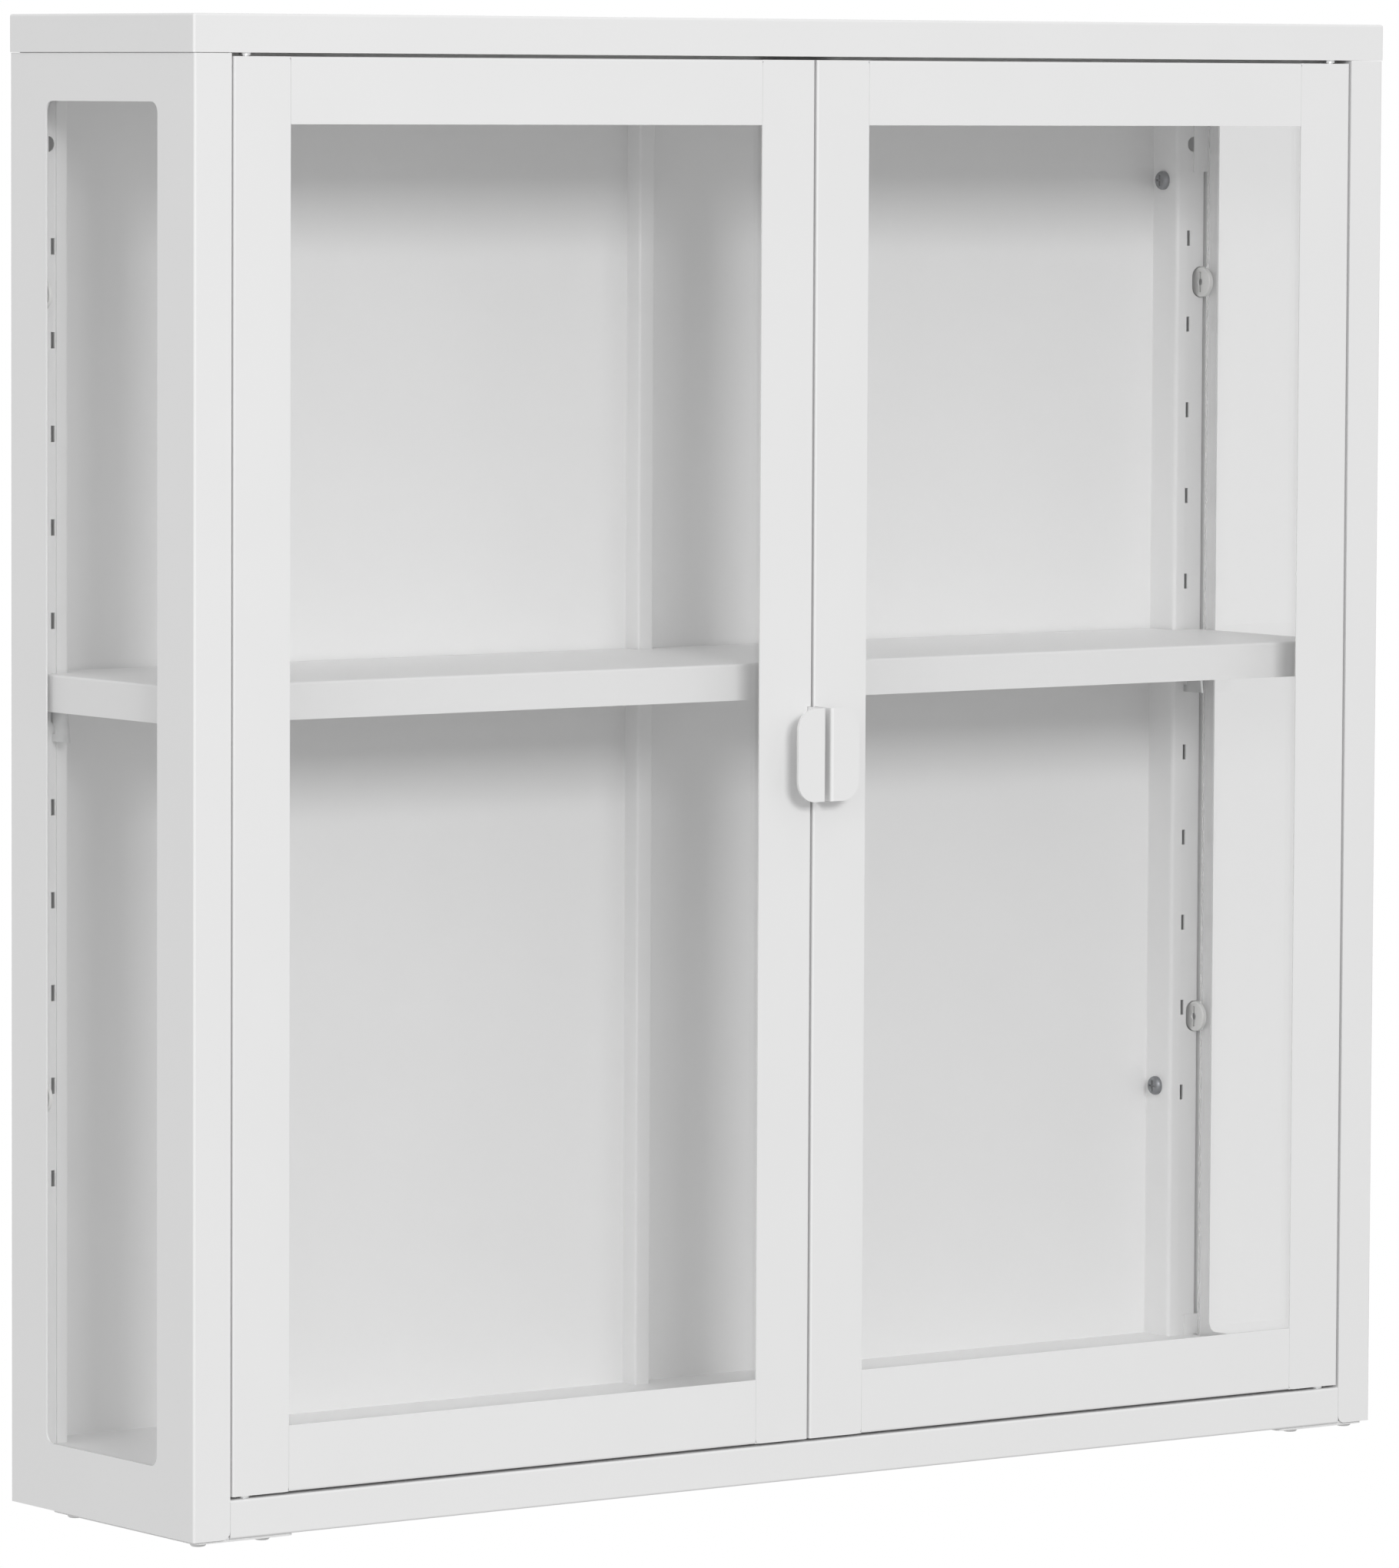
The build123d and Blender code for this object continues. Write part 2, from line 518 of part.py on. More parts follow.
# Corner tabs that lie against the slotted faces, the upper one over half of the screwdriver hole
TAB_X1 = HALF - TAB_EDGE_GAP
with BuildPart() as corner_tabs:
    block(TAB_X1 - TAB_WIDTH, TAB_X1, POST_FACE - STEEL, POST_FACE, CEILING - TAB_DROP, CEILING)
    block(TAB_X1 - TAB_WIDTH, TAB_X1, POST_FACE - STEEL, POST_FACE, FLOOR, FLOOR + TAB_RISE)
save_pair(corner_tabs.part, "corner_tabs")

# Base plates and their button-head screws
with BuildPart() as base_plate:
    block(PLATE_X0, PLATE_X1, PLATE_Y0, PLATE_Y1, BASE - BASE_PLATE, BASE)
    fillet(base_plate.edges().filter_by(Axis.Z), radius=BASE_PLATE_ROUND)
    for x, y in base_screw_places:
        rod_z(x, y, BASE - 2 * BASE_PLATE, BASE + BASE_PLATE,
              BASE_SCREW_SHANK + SCREW_HOLE_SLACK, mode=Mode.SUBTRACT)
save_pair(base_plate.part, "base_plate")
HEAD_TOP = BASE - BASE_PLATE
HEAD_BOTTOM = HEAD_TOP - BASE_SCREW_HEAD_HEIGHT
with BuildPart() as base_screw:
    rod_z(0, 0, HEAD_BOTTOM, HEAD_TOP, BASE_SCREW_HEAD)
    fillet(base_screw.edges().sort_by(Axis.Z)[0], radius=BASE_SCREW_ROUND)
    rod_z(0, 0, HEAD_TOP, HEAD_TOP + BASE_SCREW_LENGTH, BASE_SCREW_SHANK)
    with BuildSketch(Plane.XY.offset(HEAD_BOTTOM)):
        RegularPolygon(BASE_SCREW_HEX / 2, 6, major_radius=False)
    extrude(amount=BASE_SCREW_HEX_DEPTH, mode=Mode.SUBTRACT)
with BuildPart() as base_screws:
    with Locations(*[(side * x, y) for side in (-1, 1) for x, y in base_screw_places]):
        add(base_screw.part)
save(base_screws.part, "base_screws")

# Shelf: folded tray, notched round the rear posts and the rib
NOTCH_INNER = POST_INNER - STEEL - SHELF_POST_GAP
NOTCH_FRONT = POST_FACE - STEEL - SHELF_POST_GAP
RIB_NOTCH = RIB_WIDTH / 2 + SHELF_POST_GAP
with BuildPart() as shelf:
    block(-SHELF_HALF, SHELF_HALF, SHELF_Y0, SHELF_Y1, SHELF_UNDER, SHELF_Z)
    fillet(shelf.faces().sort_by(Axis.Z)[-1].edges(), radius=SHELF_ROUND)
    block(-SHELF_HALF + STEEL, SHELF_HALF - STEEL, SHELF_Y0 + STEEL, SHELF_Y1 - STEEL,
          SHELF_UNDER + STEEL, SHELF_Z - STEEL, mode=Mode.SUBTRACT)
    block(-SHELF_HALF + SHELF_RETURN, SHELF_HALF - SHELF_RETURN, SHELF_Y0 + SHELF_RETURN,
          SHELF_Y1 - SHELF_RETURN, SHELF_UNDER - STEEL, SHELF_UNDER + 2 * STEEL, mode=Mode.SUBTRACT)
    for side in (-1, 1):
        x0, x1 = sorted((side * NOTCH_INNER, side * HALF))
        block(x0, x1, NOTCH_FRONT, 0, SHELF_UNDER - STEEL, SHELF_Z + STEEL, mode=Mode.SUBTRACT)
    block(RIB_X - RIB_NOTCH, RIB_X + RIB_NOTCH, BACK_FACE - RIB_DEPTH - SHELF_POST_GAP, 0,
          SHELF_UNDER - STEEL, SHELF_Z + STEEL, mode=Mode.SUBTRACT)
save(shelf.part, "shelf")

# Shelf clips: flat plates hooked into the post slots; y = 0 is the slotted face, the shelf is at -y
HOOK_Y = STEEL + CLIP_HOOK_GAP
CLIP_TONGUE = SHELF_OVER_SLOT - SHELF_LIFT + SLOT_HEIGHT / 2 - CLIP_TONGUE_GAP
FOOT_TOP = -CLIP_DROP + CLIP_FOOT
clip_outline = [
    (HOOK_Y + CLIP_HOOK_WIDTH, 0), (-CLIP_TOP_REACH, 0), (-CLIP_REACH, -CLIP_DROP), (0, -CLIP_DROP),
    (0, FOOT_TOP), (-CLIP_NOTCH, FOOT_TOP), (-CLIP_NOTCH, FOOT_TOP + CLIP_NOTCH_HEIGHT), (0, -CLIP_TONGUE),
    (HOOK_Y, -CLIP_TONGUE), (HOOK_Y, -CLIP_HOOK), (HOOK_Y + CLIP_HOOK_WIDTH, -CLIP_HOOK)]
with BuildPart() as clip:
    with BuildSketch(Plane.YZ.offset(-CLIP / 2)):
        Polygon(*clip_outline, align=None)
    extrude(amount=CLIP)
clip_places = []
for side in (-1, 1):
    clip_places.append(Location((side * SLOT_X, POST_FACE, CLIP_TOP)))
    clip_places.append(Location((side * SLOT_X, FRONT_POST_FACE, CLIP_TOP), (0, 0, 180)))
with BuildPart() as shelf_clips:
    with Locations(*clip_places):
        add(clip.part)
save(shelf_clips.part, "shelf_clips")

# Hinge stiles: folded channel with an end plate for each pivot bush
hinge_section = folded(
    Plane.XY.offset(DOOR_Z0),
    [(OPEN_X1, FRONT), (DOOR_OUTER, FRONT), (DOOR_OUTER, DOOR_BACK), (DOOR_OUTER - DOOR_LIP, DOOR_BACK)],
    DOOR_STEEL, DOOR_BEND, Side.LEFT)
END_Y0 = STILE_SKIN - DOOR_STEEL / 2
END_Y1 = DOOR_BACK - DOOR_STEEL / 2
with BuildPart() as hinge_stile:
    extrude(hinge_section, amount=DOOR_Z1 - DOOR_Z0)
    fillet(hinge_stile.edges().filter_by(Axis.Y).group_by(Axis.X)[0], radius=STILE_ROUND)
    for z in (DOOR_Z0, DOOR_Z1 - DOOR_STEEL):
        block(OPEN_X1, DOOR_OUTER - DOOR_STEEL / 2, END_Y0, END_Y1, z, z + DOOR_STEEL)
        rod_z(PIVOT_X, PIVOT_Y, z - DOOR_STEEL, z + 2 * DOOR_STEEL, BUSH + BUSH_HOLE_SLACK,
              mode=Mode.SUBTRACT)
save_pair(hinge_stile.part, "hinge_stile")

# Meeting stiles: the same channel with a slot for the handle
meeting_section = folded(
    Plane.XY.offset(DOOR_Z0),
    [(OPEN_X0, FRONT), (DOOR_MEET, FRONT), (DOOR_MEET, DOOR_BACK), (DOOR_MEET + DOOR_LIP, DOOR_BACK)],
    DOOR_STEEL, DOOR_BEND, Side.RIGHT)
with BuildPart() as meeting_stile:
    extrude(meeting_section, amount=DOOR_Z1 - DOOR_Z0)
    fillet(meeting_stile.edges().filter_by(Axis.Y).group_by(Axis.X)[-1], radius=STILE_ROUND)
    for z in (DOOR_Z0, DOOR_Z1 - DOOR_STEEL):
        block(DOOR_MEET + DOOR_STEEL / 2, OPEN_X0, END_Y0, END_Y1, z, z + DOOR_STEEL)
    block(HANDLE_X - HANDLE_SLOT_SLACK, HANDLE_X + HANDLE_BEND + HANDLE_SLOT_SLACK,
          FRONT - DOOR_STEEL, FRONT + DOOR_BEND + HANDLE_SLOT_SLACK,
          HANDLE_Z0 - HANDLE_SLOT_SLACK, HANDLE_Z1 + HANDLE_SLOT_SLACK, mode=Mode.SUBTRACT)
save_pair(meeting_stile.part, "meeting_stile")

# Rails: channels between the stiles, flush with them, with a tongue behind each stile skin
RAIL_X0 = OPEN_X0 + DOOR_JOINT
RAIL_X1 = OPEN_X1 - DOOR_JOINT
TONGUE_SPANS = (
    (DOOR_MEET + TONGUE_SETBACK, RAIL_X0 + TONGUE),
    (RAIL_X1 - TONGUE, DOOR_OUTER - TONGUE_SETBACK))
top_rail_section = folded(
    Plane.YZ.offset(RAIL_X0),
    [(FRONT, OPEN_Z1), (FRONT, DOOR_Z1), (DOOR_BACK, DOOR_Z1), (DOOR_BACK, DOOR_Z1 - DOOR_LIP)],
    DOOR_STEEL, DOOR_BEND, Side.RIGHT)
with BuildPart() as top_rail:
    extrude(top_rail_section, amount=RAIL_X1 - RAIL_X0)
    for x0, x1 in TONGUE_SPANS:
        block(x0, x1, STILE_SKIN, TONGUE_BACK, OPEN_Z1, DOOR_Z1 - 2 * DOOR_STEEL)
save_pair(top_rail.part, "top_rail")
bottom_rail_section = folded(
    Plane.YZ.offset(RAIL_X0),
    [(FRONT, OPEN_Z0), (FRONT, DOOR_Z0), (DOOR_BACK, DOOR_Z0), (DOOR_BACK, DOOR_Z0 + DOOR_LIP)],
    DOOR_STEEL, DOOR_BEND, Side.LEFT)
with BuildPart() as bottom_rail:
    extrude(bottom_rail_section, amount=RAIL_X1 - RAIL_X0)
    for x0, x1 in TONGUE_SPANS:
        block(x0, x1, STILE_SKIN, TONGUE_BACK, DOOR_Z0 + 2 * DOOR_STEEL, OPEN_Z0)
save_pair(bottom_rail.part, "bottom_rail")

# Door glass with its seal
door_stud_places = []
for x in (DOOR_MEET + DOOR_STUD_END, (DOOR_MEET + DOOR_OUTER) / 2, DOOR_OUTER - DOOR_STUD_END):
    for z in (OPEN_Z0 - DOOR_STUD_LAP, OPEN_Z1 + DOOR_STUD_LAP):
        door_stud_places.append((x, z))
PANE_X0 = OPEN_X0 - GLASS_LAP_STILE
PANE_X1 = OPEN_X1 + GLASS_LAP_STILE
with BuildPart() as door_glass:
    block(PANE_X0, PANE_X1, PANE_FRONT, PANE_BACK, OPEN_Z0 - GLASS_LAP_RAIL, OPEN_Z1 + GLASS_LAP_RAIL)
    for x, z in door_stud_places:
        rod_y(x, PANE_FRONT - STEEL, PANE_BACK + STEEL, z, STUD_HOLE, mode=Mode.SUBTRACT)
save_pair(door_glass.part, "door_glass")
SEAL_FAR = SEAL_SETBACK + SEAL_WIDTH
with BuildPart() as glass_seal:
    block(RAIL_X0 + TONGUE, RAIL_X1 - TONGUE, STILE_SKIN, PANE_FRONT,
          OPEN_Z1 + SEAL_SETBACK, OPEN_Z1 + SEAL_FAR)
    block(RAIL_X0 + TONGUE, RAIL_X1 - TONGUE, STILE_SKIN, PANE_FRONT,
          OPEN_Z0 - SEAL_FAR, OPEN_Z0 - SEAL_SETBACK)
    block(OPEN_X0 - SEAL_FAR, OPEN_X0 - SEAL_SETBACK, STILE_SKIN, PANE_FRONT, OPEN_Z0, OPEN_Z1)
    block(OPEN_X1 + SEAL_SETBACK, OPEN_X1 + SEAL_FAR, STILE_SKIN, PANE_FRONT, OPEN_Z0, OPEN_Z1)
save_pair(glass_seal.part, "glass_seal")

# Plastic retainer nut: collar on z = 0, slotted head above
RETAINER_HEIGHT = RETAINER_COLLAR_HEIGHT + RETAINER_HEAD_HEIGHT
with BuildPart() as retainer:
    rod_z(0, 0, RETAINER_COLLAR_HEIGHT, RETAINER_HEIGHT, RETAINER_HEAD)
    fillet(retainer.edges(), radius=RETAINER_ROUND)
    rod_z(0, 0, 0, RETAINER_COLLAR_HEIGHT, RETAINER_COLLAR)
    block(-RETAINER_SLOT_LENGTH / 2, RETAINER_SLOT_LENGTH / 2, -RETAINER_SLOT / 2, RETAINER_SLOT / 2,
          RETAINER_HEIGHT - RETAINER_SLOT_DEPTH, RETAINER_HEIGHT, mode=Mode.SUBTRACT)
    rod_z(0, 0, -STEEL, RETAINER_HEIGHT + STEEL, STUD + RETAINER_SLACK, mode=Mode.SUBTRACT)
with BuildPart() as glass_retainers:
    with Locations(*[Location((x, PANE_BACK, z), (-90, 0, 0)) for x, z in door_stud_places]):
        add(retainer.part)
save_pair(glass_retainers.part, "glass_retainers")
with BuildPart() as retainer_studs:
    for x, z in door_stud_places:
        rod_y(x, STILE_SKIN, PANE_BACK + RETAINER_HEIGHT - STUD_SINK, z, STUD)
save_pair(retainer_studs.part, "retainer_studs")

# Pivot pins in ledge and cap, and the bushes that turn on them
with BuildPart() as pivot_pins:
    rod_z(PIVOT_X, PIVOT_Y, LEDGE, DOOR_Z0 - PIVOT_FREE, PIN_COLLAR)
    rod_z(PIVOT_X, PIVOT_Y, LEDGE - STEEL - PIN_HEAD_HEIGHT, DOOR_Z0 + PIN_REACH, PIN)
    rod_z(PIVOT_X, PIVOT_Y, LEDGE - STEEL - PIN_HEAD_HEIGHT, LEDGE - STEEL, PIN_HEAD)
    rod_z(PIVOT_X, PIVOT_Y, DOOR_Z1 + PIVOT_FREE, CAP_BOTTOM, PIN_COLLAR)
    rod_z(PIVOT_X, PIVOT_Y, DOOR_Z1 - PIN_REACH, CAP_BOTTOM + STEEL + PIN_HEAD_HEIGHT, PIN)
    rod_z(PIVOT_X, PIVOT_Y, CAP_BOTTOM + STEEL, CAP_BOTTOM + STEEL + PIN_HEAD_HEIGHT, PIN_HEAD)
save_pair(pivot_pins.part, "pivot_pins")
BUSH_Z0 = DOOR_Z0 + DOOR_STEEL
BUSH_Z1 = DOOR_Z1 - DOOR_STEEL
with BuildPart() as pivot_bushes:
    rod_z(PIVOT_X, PIVOT_Y, DOOR_Z0, DOOR_Z0 + BUSH_LENGTH, BUSH)
    rod_z(PIVOT_X, PIVOT_Y, BUSH_Z0, BUSH_Z0 + BUSH_FLANGE_HEIGHT, BUSH_FLANGE)
    rod_z(PIVOT_X, PIVOT_Y, DOOR_Z1 - BUSH_LENGTH, DOOR_Z1, BUSH)
    rod_z(PIVOT_X, PIVOT_Y, BUSH_Z1 - BUSH_FLANGE_HEIGHT, BUSH_Z1, BUSH_FLANGE)
    rod_z(PIVOT_X, PIVOT_Y, DOOR_Z0 - STEEL, DOOR_Z1 + STEEL, PIN + BUSH_SLACK, mode=Mode.SUBTRACT)
save_pair(pivot_bushes.part, "pivot_bushes")

# Handles: foot behind the stile skin, return along the gap, lobe turned back over the door
LOBE_Y = FRONT - HANDLE_STAND
FOOT_Y = STILE_SKIN + HANDLE_STEEL
handle_section = folded(
    Plane.XY.offset(HANDLE_Z0),
    [(HANDLE_X + HANDLE_FOOT, FOOT_Y), (HANDLE_X, FOOT_Y), (HANDLE_X, LOBE_Y),
     (HANDLE_X + HANDLE_LOBE, LOBE_Y)],
    HANDLE_STEEL, HANDLE_BEND, Side.LEFT)
with BuildPart() as handle:
    extrude(handle_section, amount=HANDLE_HEIGHT)
    fillet(handle.edges().filter_by(Axis.Y).group_by(Axis.X)[-1], radius=HANDLE_ROUND)
save_pair(handle.part, "handle")

# Magnet catch on the ceiling's step: housing, two magnets and two screws
with BuildPart() as magnet_catch:
    block(-CATCH_WIDTH / 2, CATCH_WIDTH / 2, CATCH_FACE, STEP, CATCH_Z1 - CATCH_HEIGHT, CATCH_Z1)
    fillet(magnet_catch.edges().filter_by(Axis.Y), radius=CATCH_ROUND)
    for side in (-1, 1):
        x = side * MAGNET_OFFSET
        block(x - MAGNET_WIDTH / 2 - CATCH_SLACK / 2, x + MAGNET_WIDTH / 2 + CATCH_SLACK / 2, CATCH_FACE,
              CATCH_FACE + MAGNET_DEPTH, CATCH_Z - MAGNET_HEIGHT / 2 - CATCH_SLACK / 2,
              CATCH_Z + MAGNET_HEIGHT / 2 + CATCH_SLACK / 2, mode=Mode.SUBTRACT)
        rod_y(side * CATCH_SCREW_OFFSET, CATCH_FACE, STEP, CATCH_Z,
              CATCH_SCREW_SHANK + CATCH_SLACK, mode=Mode.SUBTRACT)
        rod_y(side * CATCH_SCREW_OFFSET, CATCH_FACE, CATCH_FACE + CATCH_SCREW_HEAD_HEIGHT, CATCH_Z,
              CATCH_SCREW_HEAD + CATCH_SLACK, mode=Mode.SUBTRACT)
save(magnet_catch.part, "magnet_catch")
with BuildPart() as catch_magnets:
    for side in (-1, 1):
        x = side * MAGNET_OFFSET
        block(x - MAGNET_WIDTH / 2, x + MAGNET_WIDTH / 2, CATCH_FACE, CATCH_FACE + MAGNET_DEPTH,
              CATCH_Z - MAGNET_HEIGHT / 2, CATCH_Z + MAGNET_HEIGHT / 2)
save(catch_magnets.part, "catch_magnets")
with BuildPart() as catch_screws:
    for side in (-1, 1):
        x = side * CATCH_SCREW_OFFSET
        rod_y(x, CATCH_FACE, CATCH_FACE + CATCH_SCREW_HEAD_HEIGHT, CATCH_Z, CATCH_SCREW_HEAD)
        rod_y(x, CATCH_FACE, CATCH_FACE + CATCH_SCREW_LENGTH, CATCH_Z, CATCH_SCREW_SHANK)
save(catch_screws.part, "catch_screws")
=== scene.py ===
import json
import math

import bmesh
import bpy
from mathutils import Matrix, Vector


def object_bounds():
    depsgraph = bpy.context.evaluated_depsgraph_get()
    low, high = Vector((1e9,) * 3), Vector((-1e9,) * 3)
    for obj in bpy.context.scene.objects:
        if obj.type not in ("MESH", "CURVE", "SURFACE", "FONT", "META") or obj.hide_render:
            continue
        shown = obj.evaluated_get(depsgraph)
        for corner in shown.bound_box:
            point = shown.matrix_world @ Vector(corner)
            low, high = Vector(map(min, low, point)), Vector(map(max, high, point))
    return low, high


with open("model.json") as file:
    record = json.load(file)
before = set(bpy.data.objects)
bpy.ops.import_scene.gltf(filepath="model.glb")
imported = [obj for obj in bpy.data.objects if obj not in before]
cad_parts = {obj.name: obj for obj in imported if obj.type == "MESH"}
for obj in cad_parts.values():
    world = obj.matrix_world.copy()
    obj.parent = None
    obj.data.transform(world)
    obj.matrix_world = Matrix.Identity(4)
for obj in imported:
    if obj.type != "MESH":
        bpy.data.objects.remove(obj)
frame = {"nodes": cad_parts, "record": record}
CAD_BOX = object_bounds()

bl_info = {
    "name": "Glazed hanging cabinet",
    "version": (1, 0, 0),
    "blender": (4, 5, 0),
    "location": "3D View > Sidebar > Cabinet",
    "description": "Finishes, lamps and camera for a white steel cabinet with glazed doors and sides",
    "category": "Object",
}

MM = 0.001
WHITE = (1.0, 1.0, 1.0, 1.0)

# Sockets that are named by number, because others of the same node share their names
COLOUR_SHARE, FIRST_COLOUR, SECOND_COLOUR, MIXED_COLOUR = 0, 6, 7, 2
SHADER_SHARE, FIRST_SHADER, SECOND_SHADER = 0, 1, 2
FIRST_VALUE, SECOND_VALUE = 0, 1

# Brightness of a material's second tone as a share of its own colour
ZINC_STAIN = 0.8
THIN_PLASTIC = 0.93
FOAM_CELL = 0.85
NYLON_SHADE = 0.95
FERRITE_GRAIN = 1.8

# Depth of the relief that each surface shows
PEEL_DEPTH = 0.4 * MM
FLOW_DEPTH = 0.3 * MM
CELL_DEPTH = 0.2 * MM
NYLON_DEPTH = 0.1 * MM

# Roughness of the powder coat between the troughs and tops of its ripples, and of both kinds of zinc
RIPPLE_TROUGH, RIPPLE_TOP = 0.3, 0.7
COAT_SMOOTH, COAT_ROUGH = 0.38, 0.48
BRIGHT_ZINC_ROUGHNESS = 0.26
PAINTED_REFLECTION_ZINC_ROUGHNESS = 0.38
CRYSTAL_ROUGHNESS = 0.12
CRYSTALS_IN_STAIN = 5

SENSOR_WIDTH = 36.0
FLOOR_SIDES = 96
FLOOR_GLOW = 0.5


def linear(hex_colour):
    """An sRGB hex colour as three linear numbers."""
    channels = [int(hex_colour[i:i + 2], 16) / 255 for i in (0, 2, 4)]
    return tuple(c / 12.92 if c <= 0.04045 else ((c + 0.055) / 1.055) ** 2.4 for c in channels)


def opaque(colour, share=1.0):
    """A colour, or a share of its brightness, with the fourth number that a node's colour input takes."""
    return (*(share * channel for channel in colour), 1.0)


def add(tree, kind, inputs=None, **settings):
    """Adds a node with its settings, each input given a value or linked to another node's output."""
    node = tree.nodes.new(kind)
    for name, value in settings.items():
        setattr(node, name, value)
    for name, value in (inputs or {}).items():
        if isinstance(value, bpy.types.NodeSocket):
            tree.links.new(value, node.inputs[name])
        else:
            node.inputs[name].default_value = value
    return node


def put_on(material, slot, kind=""):
    """Gives this material to every piece that the record gives the finish, or to those of one kind."""
    names = [part["node"] for part in frame["record"]["subparts"]
             if part["material_slot"] == slot and part["node"].endswith(kind)]
    if not names:
        raise RuntimeError(f"no piece {kind} has the finish {slot}")
    for name in names:
        skin = frame["nodes"][name].data.materials
        skin.clear()
        skin.append(material)


def new_tree(name):
    """An empty material and its node tree."""
    material = bpy.data.materials.new(name)
    material.use_nodes = True
    material.node_tree.nodes.clear()
    return material, material.node_tree


class CabinetFinish(bpy.types.PropertyGroup):
    """Colours and grain sizes of the cabinet's materials"""

    coat_colour: bpy.props.FloatVectorProperty(
        name="Powder coat", description="Colour of the baked powder on the sheet steel",
        subtype="COLOR", size=3, min=0.0, max=1.0, default=linear("EDEDED"))
    coat_shade: bpy.props.FloatVectorProperty(
        name="Thin powder", description="Colour where the powder lies thinner",
        subtype="COLOR", size=3, min=0.0, max=1.0, default=linear("EAEAEA"))
    peel_spacing: bpy.props.FloatProperty(
        name="Orange peel", description="Spacing of the ripples in the baked powder",
        subtype="DISTANCE", unit="LENGTH", min=0.0005, default=2.6 * MM)
    film_spacing: bpy.props.FloatProperty(
        name="Film cloud", description="Spacing of the thick and thin places in the powder film",
        subtype="DISTANCE", unit="LENGTH", min=0.005, default=70 * MM)
    glass_colour: bpy.props.FloatVectorProperty(
        name="Glass", description="Tint that one pane gives to what is seen through it",
        subtype="COLOR", size=3, min=0.0, max=1.0, default=linear("FAFAFA"))
    glass_light: bpy.props.FloatVectorProperty(
        name="Light through glass", description="Share of the light that one glass face lets through",
        subtype="COLOR", size=3, min=0.0, max=1.0, default=linear("FDFDFD"))
    ground_edge: bpy.props.FloatProperty(
        name="Ground edges", description="Roughness of the panes' ground edges",
        subtype="FACTOR", min=0.0, max=1.0, default=0.65)
    zinc_colour: bpy.props.FloatVectorProperty(
        name="Bright zinc", description="Colour of the plated pins, studs, clips and small screws",
        subtype="COLOR", size=3, min=0.0, max=1.0, default=linear("E0E1E1"))
    # The back panel's screws: zinc darkened to paint in the dark surroundings that their metal reflects, a
    # painted reflection
    zinc_colour_with_painted_reflection: bpy.props.FloatVectorProperty(
        name="Reflection-darkened zinc", description="Colour of the back panel's screws",
        subtype="COLOR", size=3, min=0.0, max=1.0, default=linear("7E8084"))
    crystal_spacing: bpy.props.FloatProperty(
        name="Zinc crystals", description="Width of the plating's crystal patches",
        subtype="DISTANCE", unit="LENGTH", min=0.0003, default=1.1 * MM)
    retainer_colour: bpy.props.FloatVectorProperty(
        name="Retainers", description="Colour of the moulded glass retainers",
        subtype="COLOR", size=3, min=0.0, max=1.0, default=linear("F0F0EE"))
    flow_spacing: bpy.props.FloatProperty(
        name="Flow waves", description="Spacing of the waves that the moulding left in the retainers",
        subtype="DISTANCE", unit="LENGTH", min=0.001, default=6 * MM)
    seal_colour: bpy.props.FloatVectorProperty(
        name="Sealing tape", description="Colour of the foam tape behind the door glass",
        subtype="COLOR", size=3, min=0.0, max=1.0, default=linear("DADAD7"))
    cell_spacing: bpy.props.FloatProperty(
        name="Foam cells", description="Width of the foam tape's cells",
        subtype="DISTANCE", unit="LENGTH", min=0.0003, default=0.9 * MM)
    nylon_colour: bpy.props.FloatVectorProperty(
        name="Nylon", description="Colour of the pivot bushes and the catch housing",
        subtype="COLOR", size=3, min=0.0, max=1.0, default=linear("E8E7E2"))
    nylon_spacing: bpy.props.FloatProperty(
        name="Nylon texture", description="Spacing of the mould's texture on the nylon",
        subtype="DISTANCE", unit="LENGTH", min=0.0003, default=0.8 * MM)
    magnet_colour: bpy.props.FloatVectorProperty(
        name="Magnets", description="Colour of the catch magnets",
        subtype="COLOR", size=3, min=0.0, max=1.0, default=linear("2F3033"))
    grain_spacing: bpy.props.FloatProperty(
        name="Ferrite grain", description="Spacing of the grain in the magnets",
        subtype="DISTANCE", unit="LENGTH", min=0.0003, default=0.6 * MM)


